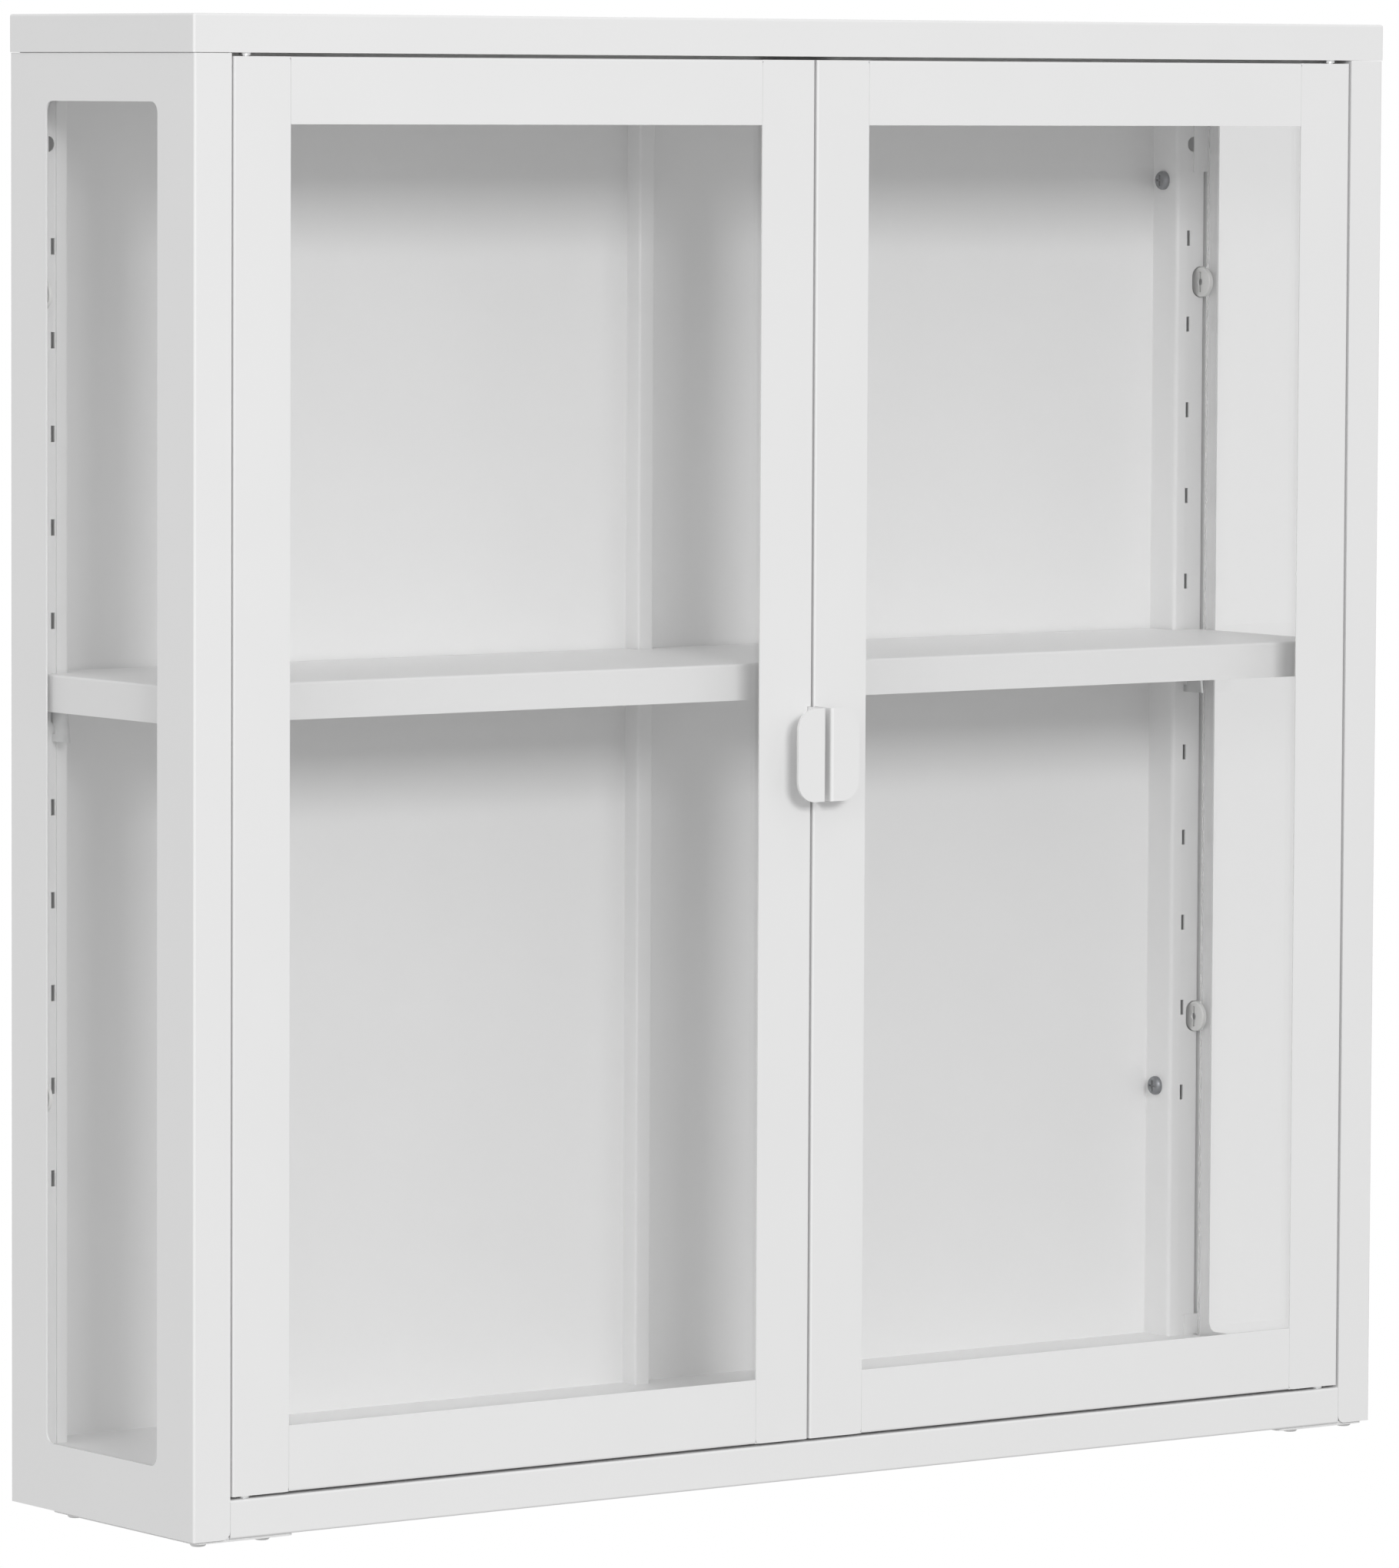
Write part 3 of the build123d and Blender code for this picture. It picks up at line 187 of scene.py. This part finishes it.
class CabinetStudio(bpy.types.PropertyGroup):
    """Camera, lamps and floor"""

    camera_place: bpy.props.FloatVectorProperty(
        name="Camera place", description="Where the camera stands",
        subtype="TRANSLATION", unit="LENGTH", size=3, default=(-3.0519, -4.2406, 0.0319))
    camera_yaw: bpy.props.FloatProperty(
        name="Yaw", description="Turn of the view from straight back towards the right",
        subtype="ANGLE", unit="ROTATION", default=math.radians(36.232))
    camera_pitch: bpy.props.FloatProperty(
        name="Pitch", description="Tilt of the view above level",
        subtype="ANGLE", unit="ROTATION", default=math.radians(-4.279))
    camera_roll: bpy.props.FloatProperty(
        name="Roll", description="Turn of the view about its own axis",
        subtype="ANGLE", unit="ROTATION", default=math.radians(0.275))
    camera_lens: bpy.props.FloatProperty(
        name="Lens", description="Focal length on a 36 mm long side",
        subtype="DISTANCE_CAMERA", unit="CAMERA", min=20.0, default=213.86)
    softbox_distance: bpy.props.FloatProperty(
        name="Softbox distance", description="Distance of both softboxes from the cabinet's middle",
        subtype="DISTANCE", unit="LENGTH", min=1.0, default=7.0)
    key_bearing: bpy.props.FloatProperty(
        name="Key bearing", description="Turn of the front softbox from straight ahead towards the left",
        subtype="ANGLE", unit="ROTATION", default=math.radians(15))
    key_rise: bpy.props.FloatProperty(
        name="Key rise", description="Height of the front softbox as an angle above level",
        subtype="ANGLE", unit="ROTATION", default=math.radians(18))
    key_size: bpy.props.FloatVectorProperty(
        name="Key size", description="Width and height of the front softbox",
        subtype="XYZ_LENGTH", unit="LENGTH", size=2, min=0.1, default=(2.1, 1.5))
    key_power: bpy.props.FloatProperty(
        name="Key power", description="Power of the front softbox",
        subtype="POWER", unit="POWER", min=0.0, default=195.0)
    side_bearing: bpy.props.FloatProperty(
        name="Side bearing", description="Turn of the left softbox from straight ahead towards the left",
        subtype="ANGLE", unit="ROTATION", default=math.radians(76))
    side_rise: bpy.props.FloatProperty(
        name="Side rise", description="Height of the left softbox as an angle above level",
        subtype="ANGLE", unit="ROTATION", default=math.radians(12))
    side_size: bpy.props.FloatVectorProperty(
        name="Side size", description="Width and height of the left softbox",
        subtype="XYZ_LENGTH", unit="LENGTH", size=2, min=0.1, default=(3.5, 3.5))
    side_power: bpy.props.FloatProperty(
        name="Side power", description="Power of the left softbox",
        subtype="POWER", unit="POWER", min=0.0, default=82.0)
    light_above: bpy.props.FloatProperty(
        name="Light from above", description="Soft light that falls straight down",
        min=0.0, default=0.7)
    light_below: bpy.props.FloatProperty(
        name="Light from below", description="Soft light that rises from the ground",
        min=0.0, default=0.33)
    light_through_glass: bpy.props.FloatProperty(
        name="Backdrop through glass", description="Brightness of the backdrop behind a pane, 1 is white",
        min=0.0, max=1.0, default=0.81)
    floor_drop: bpy.props.FloatProperty(
        name="Floor", description="Floor below the cabinet's underside",
        subtype="DISTANCE", unit="LENGTH", min=0.0, default=0.9)
    floor_radius: bpy.props.FloatProperty(
        name="Floor radius", description="Radius of the round studio floor",
        subtype="DISTANCE", unit="LENGTH", min=0.5, default=1.6)
    floor_colour: bpy.props.FloatVectorProperty(
        name="Floor colour", description="Colour of the studio floor",
        subtype="COLOR", size=3, min=0.0, max=1.0, default=linear("F2F2F1"))


def powder_coat(look):
    """Satin white polyester powder."""
    # Powder sprayed dry and baked on: an even satin white whose ripples soften every highlight.
    # The real ripples are 1 to 2 mm apart and are drawn a little coarser, so that they show.
    material, tree = new_tree("Satin white powder coat")
    place = add(tree, "ShaderNodeTexCoord").outputs["Object"]
    ripple = add(tree, "ShaderNodeTexNoise",
                 {"Vector": place, "Scale": 1 / look.peel_spacing, "Detail": 2.0, "Roughness": 0.45})
    film = add(tree, "ShaderNodeTexNoise",
               {"Vector": place, "Scale": 1 / look.film_spacing, "Detail": 3.0, "Roughness": 0.5})
    colour = add(tree, "ShaderNodeMix",
                 {COLOUR_SHARE: film.outputs["Fac"], FIRST_COLOUR: opaque(look.coat_shade),
                  SECOND_COLOUR: opaque(look.coat_colour)},
                 data_type="RGBA")
    gloss = add(tree, "ShaderNodeMapRange",
                {"Value": ripple.outputs["Fac"], "From Min": RIPPLE_TROUGH, "From Max": RIPPLE_TOP,
                 "To Min": COAT_SMOOTH, "To Max": COAT_ROUGH})
    bump = add(tree, "ShaderNodeBump",
               {"Height": ripple.outputs["Fac"], "Strength": 0.1, "Distance": PEEL_DEPTH})
    coat = add(tree, "ShaderNodeBsdfPrincipled",
               {"Base Color": colour.outputs[MIXED_COLOUR], "Roughness": gloss.outputs["Result"],
                "IOR": 1.5, "Normal": bump.outputs["Normal"]})
    add(tree, "ShaderNodeOutputMaterial", {"Surface": coat.outputs["BSDF"]})
    return material


def float_glass(name, thickness_axis, look):
    """Clear float glass that lets the lamps into the cabinet, its edges ground."""
    # Cast on molten tin: flat, clear faces with a clean mirror gloss, too thin to be tinted much by iron.
    # Lamp light and the light between the walls go straight through, as thin flat panes let them.
    material, tree = new_tree(name)
    normal = add(tree, "ShaderNodeTexCoord").outputs["Normal"]
    facing = add(tree, "ShaderNodeSeparateXYZ", {"Vector": normal})
    flat = add(tree, "ShaderNodeMath", {FIRST_VALUE: facing.outputs[thickness_axis]}, operation="ABSOLUTE")
    ground = add(tree, "ShaderNodeMapRange",
                 {"Value": flat.outputs["Value"], "To Min": look.ground_edge, "To Max": 0.0})
    pane = add(tree, "ShaderNodeBsdfPrincipled",
               {"Base Color": opaque(look.glass_colour), "Roughness": ground.outputs["Result"],
                "IOR": 1.52, "Transmission Weight": 1.0})
    clear = add(tree, "ShaderNodeBsdfTransparent", {"Color": opaque(look.glass_light)})
    path = add(tree, "ShaderNodeLightPath")
    between = add(tree, "ShaderNodeMixShader",
                  {SHADER_SHARE: path.outputs["Is Diffuse Ray"], FIRST_SHADER: pane.outputs["BSDF"],
                   SECOND_SHADER: clear.outputs["BSDF"]})
    lit = add(tree, "ShaderNodeMixShader",
              {SHADER_SHARE: path.outputs["Is Shadow Ray"], FIRST_SHADER: between.outputs["Shader"],
               SECOND_SHADER: clear.outputs["BSDF"]})
    add(tree, "ShaderNodeOutputMaterial", {"Surface": lit.outputs["Shader"]})
    return material


def zinc_plate(name, colour, roughness, look):
    """Zinc plated steel."""
    # Electroplated and passivated: a grey metal whose crystal patches differ a little in gloss.
    material, tree = new_tree(name)
    place = add(tree, "ShaderNodeTexCoord").outputs["Object"]
    crystals = add(tree, "ShaderNodeTexVoronoi", {"Vector": place, "Scale": 1 / look.crystal_spacing})
    stain = add(tree, "ShaderNodeTexNoise",
                {"Vector": place, "Scale": 1 / (CRYSTALS_IN_STAIN * look.crystal_spacing), "Detail": 3.0})
    tone = add(tree, "ShaderNodeMix",
               {COLOUR_SHARE: stain.outputs["Fac"], FIRST_COLOUR: opaque(colour, ZINC_STAIN),
                SECOND_COLOUR: opaque(colour)},
               data_type="RGBA")
    gloss = add(tree, "ShaderNodeMapRange",
                {"Value": crystals.outputs["Distance"], "To Min": roughness,
                 "To Max": roughness + CRYSTAL_ROUGHNESS})
    metal = add(tree, "ShaderNodeBsdfPrincipled",
                {"Base Color": tone.outputs[MIXED_COLOUR], "Metallic": 1.0,
                 "Roughness": gloss.outputs["Result"]})
    add(tree, "ShaderNodeOutputMaterial", {"Surface": metal.outputs["BSDF"]})
    return material


def natural_plastic(look):
    """Moulded natural polypropylene."""
    # Injection moulded and unpigmented: waxy and a little clear, with a soft gloss and faint waves.
    material, tree = new_tree("Moulded natural polypropylene")
    place = add(tree, "ShaderNodeTexCoord").outputs["Object"]
    flow = add(tree, "ShaderNodeTexNoise",
               {"Vector": place, "Scale": 1 / look.flow_spacing, "Detail": 2.0})
    colour = add(tree, "ShaderNodeMix",
                 {COLOUR_SHARE: flow.outputs["Fac"],
                  FIRST_COLOUR: opaque(look.retainer_colour, THIN_PLASTIC),
                  SECOND_COLOUR: opaque(look.retainer_colour)},
                 data_type="RGBA")
    bump = add(tree, "ShaderNodeBump",
               {"Height": flow.outputs["Fac"], "Strength": 0.1, "Distance": FLOW_DEPTH})
    plastic = add(tree, "ShaderNodeBsdfPrincipled",
                  {"Base Color": colour.outputs[MIXED_COLOUR], "Roughness": 0.3, "IOR": 1.49,
                   "Transmission Weight": 0.08, "Normal": bump.outputs["Normal"]})
    add(tree, "ShaderNodeOutputMaterial", {"Surface": plastic.outputs["BSDF"]})
    return material


def foam_tape(look):
    """Closed-cell foam sealing tape."""
    # Foamed and slit: matte, with a skin of fine cells.
    material, tree = new_tree("Closed-cell foam tape")
    place = add(tree, "ShaderNodeTexCoord").outputs["Object"]
    cells = add(tree, "ShaderNodeTexVoronoi", {"Vector": place, "Scale": 1 / look.cell_spacing})
    colour = add(tree, "ShaderNodeMix",
                 {COLOUR_SHARE: cells.outputs["Distance"], FIRST_COLOUR: opaque(look.seal_colour),
                  SECOND_COLOUR: opaque(look.seal_colour, FOAM_CELL)},
                 data_type="RGBA")
    bump = add(tree, "ShaderNodeBump",
               {"Height": cells.outputs["Distance"], "Strength": 0.3, "Distance": CELL_DEPTH})
    tape = add(tree, "ShaderNodeBsdfPrincipled",
               {"Base Color": colour.outputs[MIXED_COLOUR], "Roughness": 0.85, "IOR": 1.45,
                "Normal": bump.outputs["Normal"]})
    add(tree, "ShaderNodeOutputMaterial", {"Surface": tape.outputs["BSDF"]})
    return material


def moulded_nylon(look):
    """Moulded white nylon."""
    # Injection moulded in a spark-eroded tool: warm white with a fine matte texture.
    material, tree = new_tree("Moulded white nylon")
    place = add(tree, "ShaderNodeTexCoord").outputs["Object"]
    texture = add(tree, "ShaderNodeTexNoise",
                  {"Vector": place, "Scale": 1 / look.nylon_spacing, "Detail": 2.0})
    colour = add(tree, "ShaderNodeMix",
                 {COLOUR_SHARE: texture.outputs["Fac"],
                  FIRST_COLOUR: opaque(look.nylon_colour, NYLON_SHADE),
                  SECOND_COLOUR: opaque(look.nylon_colour)},
                 data_type="RGBA")
    bump = add(tree, "ShaderNodeBump",
               {"Height": texture.outputs["Fac"], "Strength": 0.15, "Distance": NYLON_DEPTH})
    nylon = add(tree, "ShaderNodeBsdfPrincipled",
                {"Base Color": colour.outputs[MIXED_COLOUR], "Roughness": 0.5, "IOR": 1.53,
                 "Normal": bump.outputs["Normal"]})
    add(tree, "ShaderNodeOutputMaterial", {"Surface": nylon.outputs["BSDF"]})
    return material


def sintered_ferrite(look):
    """Sintered ferrite."""
    # Pressed powder, fired and ground: near black, with a dull grey grain.
    material, tree = new_tree("Sintered ferrite")
    place = add(tree, "ShaderNodeTexCoord").outputs["Object"]
    grain = add(tree, "ShaderNodeTexNoise",
                {"Vector": place, "Scale": 1 / look.grain_spacing, "Detail": 4.0})
    colour = add(tree, "ShaderNodeMix",
                 {COLOUR_SHARE: grain.outputs["Fac"], FIRST_COLOUR: opaque(look.magnet_colour),
                  SECOND_COLOUR: opaque(look.magnet_colour, FERRITE_GRAIN)},
                 data_type="RGBA")
    ferrite = add(tree, "ShaderNodeBsdfPrincipled",
                  {"Base Color": colour.outputs[MIXED_COLOUR], "Roughness": 0.55, "IOR": 1.9})
    add(tree, "ShaderNodeOutputMaterial", {"Surface": ferrite.outputs["BSDF"]})
    return material


class CABINET_OT_coat_sheet_steel(bpy.types.Operator):
    """Coats the carcass, doors, handles, shelf and base plates with white powder"""

    bl_idname = "cabinet.coat_sheet_steel"
    bl_label = "Coat sheet steel"

    def execute(self, context):
        put_on(powder_coat(context.scene.cabinet_finish), "powder_coat")
        return {"FINISHED"}


class CABINET_OT_glaze(bpy.types.Operator):
    """Makes the door panes and side panes clear float glass"""

    bl_idname = "cabinet.glaze"
    bl_label = "Glaze doors and sides"

    def execute(self, context):
        look = context.scene.cabinet_finish
        put_on(float_glass("Float glass of the doors", "Y", look), "clear_glass", "door_glass")
        put_on(float_glass("Float glass of the sides", "X", look), "clear_glass", "side_glass")
        return {"FINISHED"}


class CABINET_OT_seal_panes(bpy.types.Operator):
    """Makes the seals behind the door panes foam tape"""

    bl_idname = "cabinet.seal_panes"
    bl_label = "Seal door panes"

    def execute(self, context):
        put_on(foam_tape(context.scene.cabinet_finish), "seal_rubber")
        return {"FINISHED"}


class CABINET_OT_mould_retainers(bpy.types.Operator):
    """Makes the retainers that hold the panes waxy plastic"""

    bl_idname = "cabinet.mould_retainers"
    bl_label = "Mould retainers"

    def execute(self, context):
        put_on(natural_plastic(context.scene.cabinet_finish), "retainer_plastic")
        return {"FINISHED"}


class CABINET_OT_plate_hardware(bpy.types.Operator):
    """Plates the pins, studs, clips and screws with zinc, and the back panel's screws with zinc darkened
    as a painted dark reflection
    """

    bl_idname = "cabinet.plate_hardware"
    bl_label = "Plate hardware"

    def execute(self, context):
        look = context.scene.cabinet_finish
        bright = zinc_plate("Bright zinc plate", look.zinc_colour, BRIGHT_ZINC_ROUGHNESS, look)
        # The back panel's screws get a darker zinc, which paints in the dark reflection that their heads
        # show
        painted_reflection_zinc = zinc_plate("Reflection-darkened zinc plate", look.zinc_colour_with_painted_reflection, PAINTED_REFLECTION_ZINC_ROUGHNESS, look)
        put_on(bright, "zinc_steel")
        put_on(painted_reflection_zinc, "dark_zinc")
        return {"FINISHED"}


class CABINET_OT_fit_catch(bpy.types.Operator):
    """Makes the pivot bushes and the catch housing nylon, and the catch magnets ferrite"""

    bl_idname = "cabinet.fit_catch"
    bl_label = "Fit bushes and catch"

    def execute(self, context):
        look = context.scene.cabinet_finish
        put_on(moulded_nylon(look), "white_nylon")
        put_on(sintered_ferrite(look), "magnet_iron")
        return {"FINISHED"}


def hang_softbox(name, bearing, rise, distance, size, power):
    """An area lamp that looks at the cabinet's middle, from a bearing to the left of straight ahead."""
    lamp = bpy.data.lights.new(name, "AREA")
    lamp.shape = "RECTANGLE"
    lamp.size, lamp.size_y = size
    lamp.energy = power
    middle = (CAD_BOX[0] + CAD_BOX[1]) / 2
    level = math.cos(rise)
    out = Vector((-math.sin(bearing) * level, -math.cos(bearing) * level, math.sin(rise)))
    softbox = bpy.data.objects.new(name, lamp)
    softbox.location = middle + distance * out
    softbox.rotation_euler = (-out).to_track_quat("-Z", "Y").to_euler()
    softbox.visible_camera = False
    bpy.context.scene.collection.objects.link(softbox)


def seen_as_background(tree):
    """An output that is 1 for rays that show the background itself or a mirror or glass image of it."""
    path = add(tree, "ShaderNodeLightPath")
    mirror = add(tree, "ShaderNodeMath",
                 {FIRST_VALUE: path.outputs["Is Camera Ray"], SECOND_VALUE: path.outputs["Is Glossy Ray"]},
                 operation="MAXIMUM")
    glass = add(tree, "ShaderNodeMath",
                {FIRST_VALUE: mirror.outputs["Value"], SECOND_VALUE: path.outputs["Is Transmission Ray"]},
                operation="MAXIMUM")
    return glass.outputs["Value"]


def white_room(from_above, from_below, through_glass):
    """A world that looks white, a little greyer through glass, and whose soft light fades downwards."""
    world = bpy.data.worlds.new("White studio")
    world.use_nodes = True
    tree = world.node_tree
    tree.nodes.clear()
    direction = add(tree, "ShaderNodeTexCoord").outputs["Generated"]
    ray = add(tree, "ShaderNodeSeparateXYZ", {"Vector": direction})
    fade = add(tree, "ShaderNodeMapRange",
               {"Value": ray.outputs["Z"], "From Min": -1.0, "From Max": 1.0,
                "To Min": from_below, "To Max": from_above})
    room = add(tree, "ShaderNodeBackground", {"Color": WHITE, "Strength": fade.outputs["Result"]})
    white = add(tree, "ShaderNodeBackground", {"Color": WHITE, "Strength": 1.0})
    seen = add(tree, "ShaderNodeMixShader",
               {SHADER_SHARE: seen_as_background(tree), FIRST_SHADER: room.outputs["Background"],
                SECOND_SHADER: white.outputs["Background"]})
    backdrop = add(tree, "ShaderNodeBackground", {"Color": WHITE, "Strength": through_glass})
    path = add(tree, "ShaderNodeLightPath")
    glazed = add(tree, "ShaderNodeMixShader",
                 {SHADER_SHARE: path.outputs["Is Transmission Ray"], FIRST_SHADER: seen.outputs["Shader"],
                  SECOND_SHADER: backdrop.outputs["Background"]})
    add(tree, "ShaderNodeOutputWorld", {"Surface": glazed.outputs["Shader"]})
    return world


def studio_floor(studio):
    """A round pale floor under the cabinet."""
    material, tree = new_tree("Matte studio paint")
    paint = add(tree, "ShaderNodeBsdfPrincipled",
                {"Base Color": opaque(studio.floor_colour), "Roughness": 0.9})
    glow = add(tree, "ShaderNodeEmission", {"Color": WHITE, "Strength": seen_as_background(tree)})
    both = add(tree, "ShaderNodeMixShader",
               {SHADER_SHARE: FLOOR_GLOW, FIRST_SHADER: paint.outputs["BSDF"],
                SECOND_SHADER: glow.outputs["Emission"]})
    add(tree, "ShaderNodeOutputMaterial", {"Surface": both.outputs["Shader"]})
    mesh = bpy.data.meshes.new("studio_floor")
    build = bmesh.new()
    bmesh.ops.create_circle(build, cap_ends=True, radius=studio.floor_radius, segments=FLOOR_SIDES)
    bmesh.ops.translate(build, verts=build.verts, vec=(0, 0, CAD_BOX[0].z - studio.floor_drop))
    build.to_mesh(mesh)
    build.free()
    mesh.materials.append(material)
    floor = bpy.data.objects.new("studio_floor", mesh)
    bpy.context.scene.collection.objects.link(floor)


class CABINET_OT_set_stage(bpy.types.Operator):
    """Sets up the floor, the white room, the lamps and the camera"""

    bl_idname = "cabinet.set_stage"
    bl_label = "Set stage"

    def execute(self, context):
        studio = context.scene.cabinet_studio
        studio_floor(studio)
        context.scene.world = white_room(
            studio.light_above, studio.light_below, studio.light_through_glass)
        hang_softbox("front_softbox", studio.key_bearing, studio.key_rise, studio.softbox_distance,
                     studio.key_size, studio.key_power)
        hang_softbox("left_softbox", studio.side_bearing, studio.side_rise, studio.softbox_distance,
                     studio.side_size, studio.side_power)
        lens = bpy.data.cameras.new("cabinet_camera")
        lens.sensor_width = SENSOR_WIDTH
        lens.lens = studio.camera_lens
        camera = bpy.data.objects.new("cabinet_camera", lens)
        camera.matrix_world = (
            Matrix.Translation(studio.camera_place)
            @ Matrix.Rotation(-studio.camera_yaw, 4, "Z")
            @ Matrix.Rotation(math.pi / 2 + studio.camera_pitch, 4, "X")
            @ Matrix.Rotation(studio.camera_roll, 4, "Z"))
        context.scene.collection.objects.link(camera)
        context.scene.camera = camera
        context.scene.view_settings.view_transform = "Standard"
        return {"FINISHED"}


OPERATORS = (
    CABINET_OT_coat_sheet_steel,
    CABINET_OT_glaze,
    CABINET_OT_seal_panes,
    CABINET_OT_mould_retainers,
    CABINET_OT_plate_hardware,
    CABINET_OT_fit_catch,
    CABINET_OT_set_stage,
)


class CABINET_PT_sidebar(bpy.types.Panel):
    """Lists the cabinet's finishes, its studio and the steps that make them"""

    bl_idname = "CABINET_PT_sidebar"
    bl_label = "Hanging cabinet"
    bl_space_type = "VIEW_3D"
    bl_region_type = "UI"
    bl_category = "Cabinet"

    def draw(self, context):
        for group in (context.scene.cabinet_finish, context.scene.cabinet_studio):
            column = self.layout.column()
            for name in group.__annotations__:
                column.prop(group, name)
        for step in OPERATORS:
            self.layout.operator(step.bl_idname)


CLASSES = (CabinetFinish, CabinetStudio, *OPERATORS, CABINET_PT_sidebar)


def register():
    """Registers the classes and gives the scene its settings."""
    for cls in CLASSES:
        bpy.utils.register_class(cls)
    bpy.types.Scene.cabinet_finish = bpy.props.PointerProperty(type=CabinetFinish)
    bpy.types.Scene.cabinet_studio = bpy.props.PointerProperty(type=CabinetStudio)


def unregister():
    """Takes the settings and the classes away again."""
    del bpy.types.Scene.cabinet_studio
    del bpy.types.Scene.cabinet_finish
    for cls in reversed(CLASSES):
        bpy.utils.unregister_class(cls)


def main():
    """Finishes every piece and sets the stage."""
    register()
    bpy.ops.cabinet.coat_sheet_steel()
    bpy.ops.cabinet.glaze()
    bpy.ops.cabinet.seal_panes()
    bpy.ops.cabinet.mould_retainers()
    bpy.ops.cabinet.plate_hardware()
    bpy.ops.cabinet.fit_catch()
    bpy.ops.cabinet.set_stage()


if __name__ == "__main__":
    main()
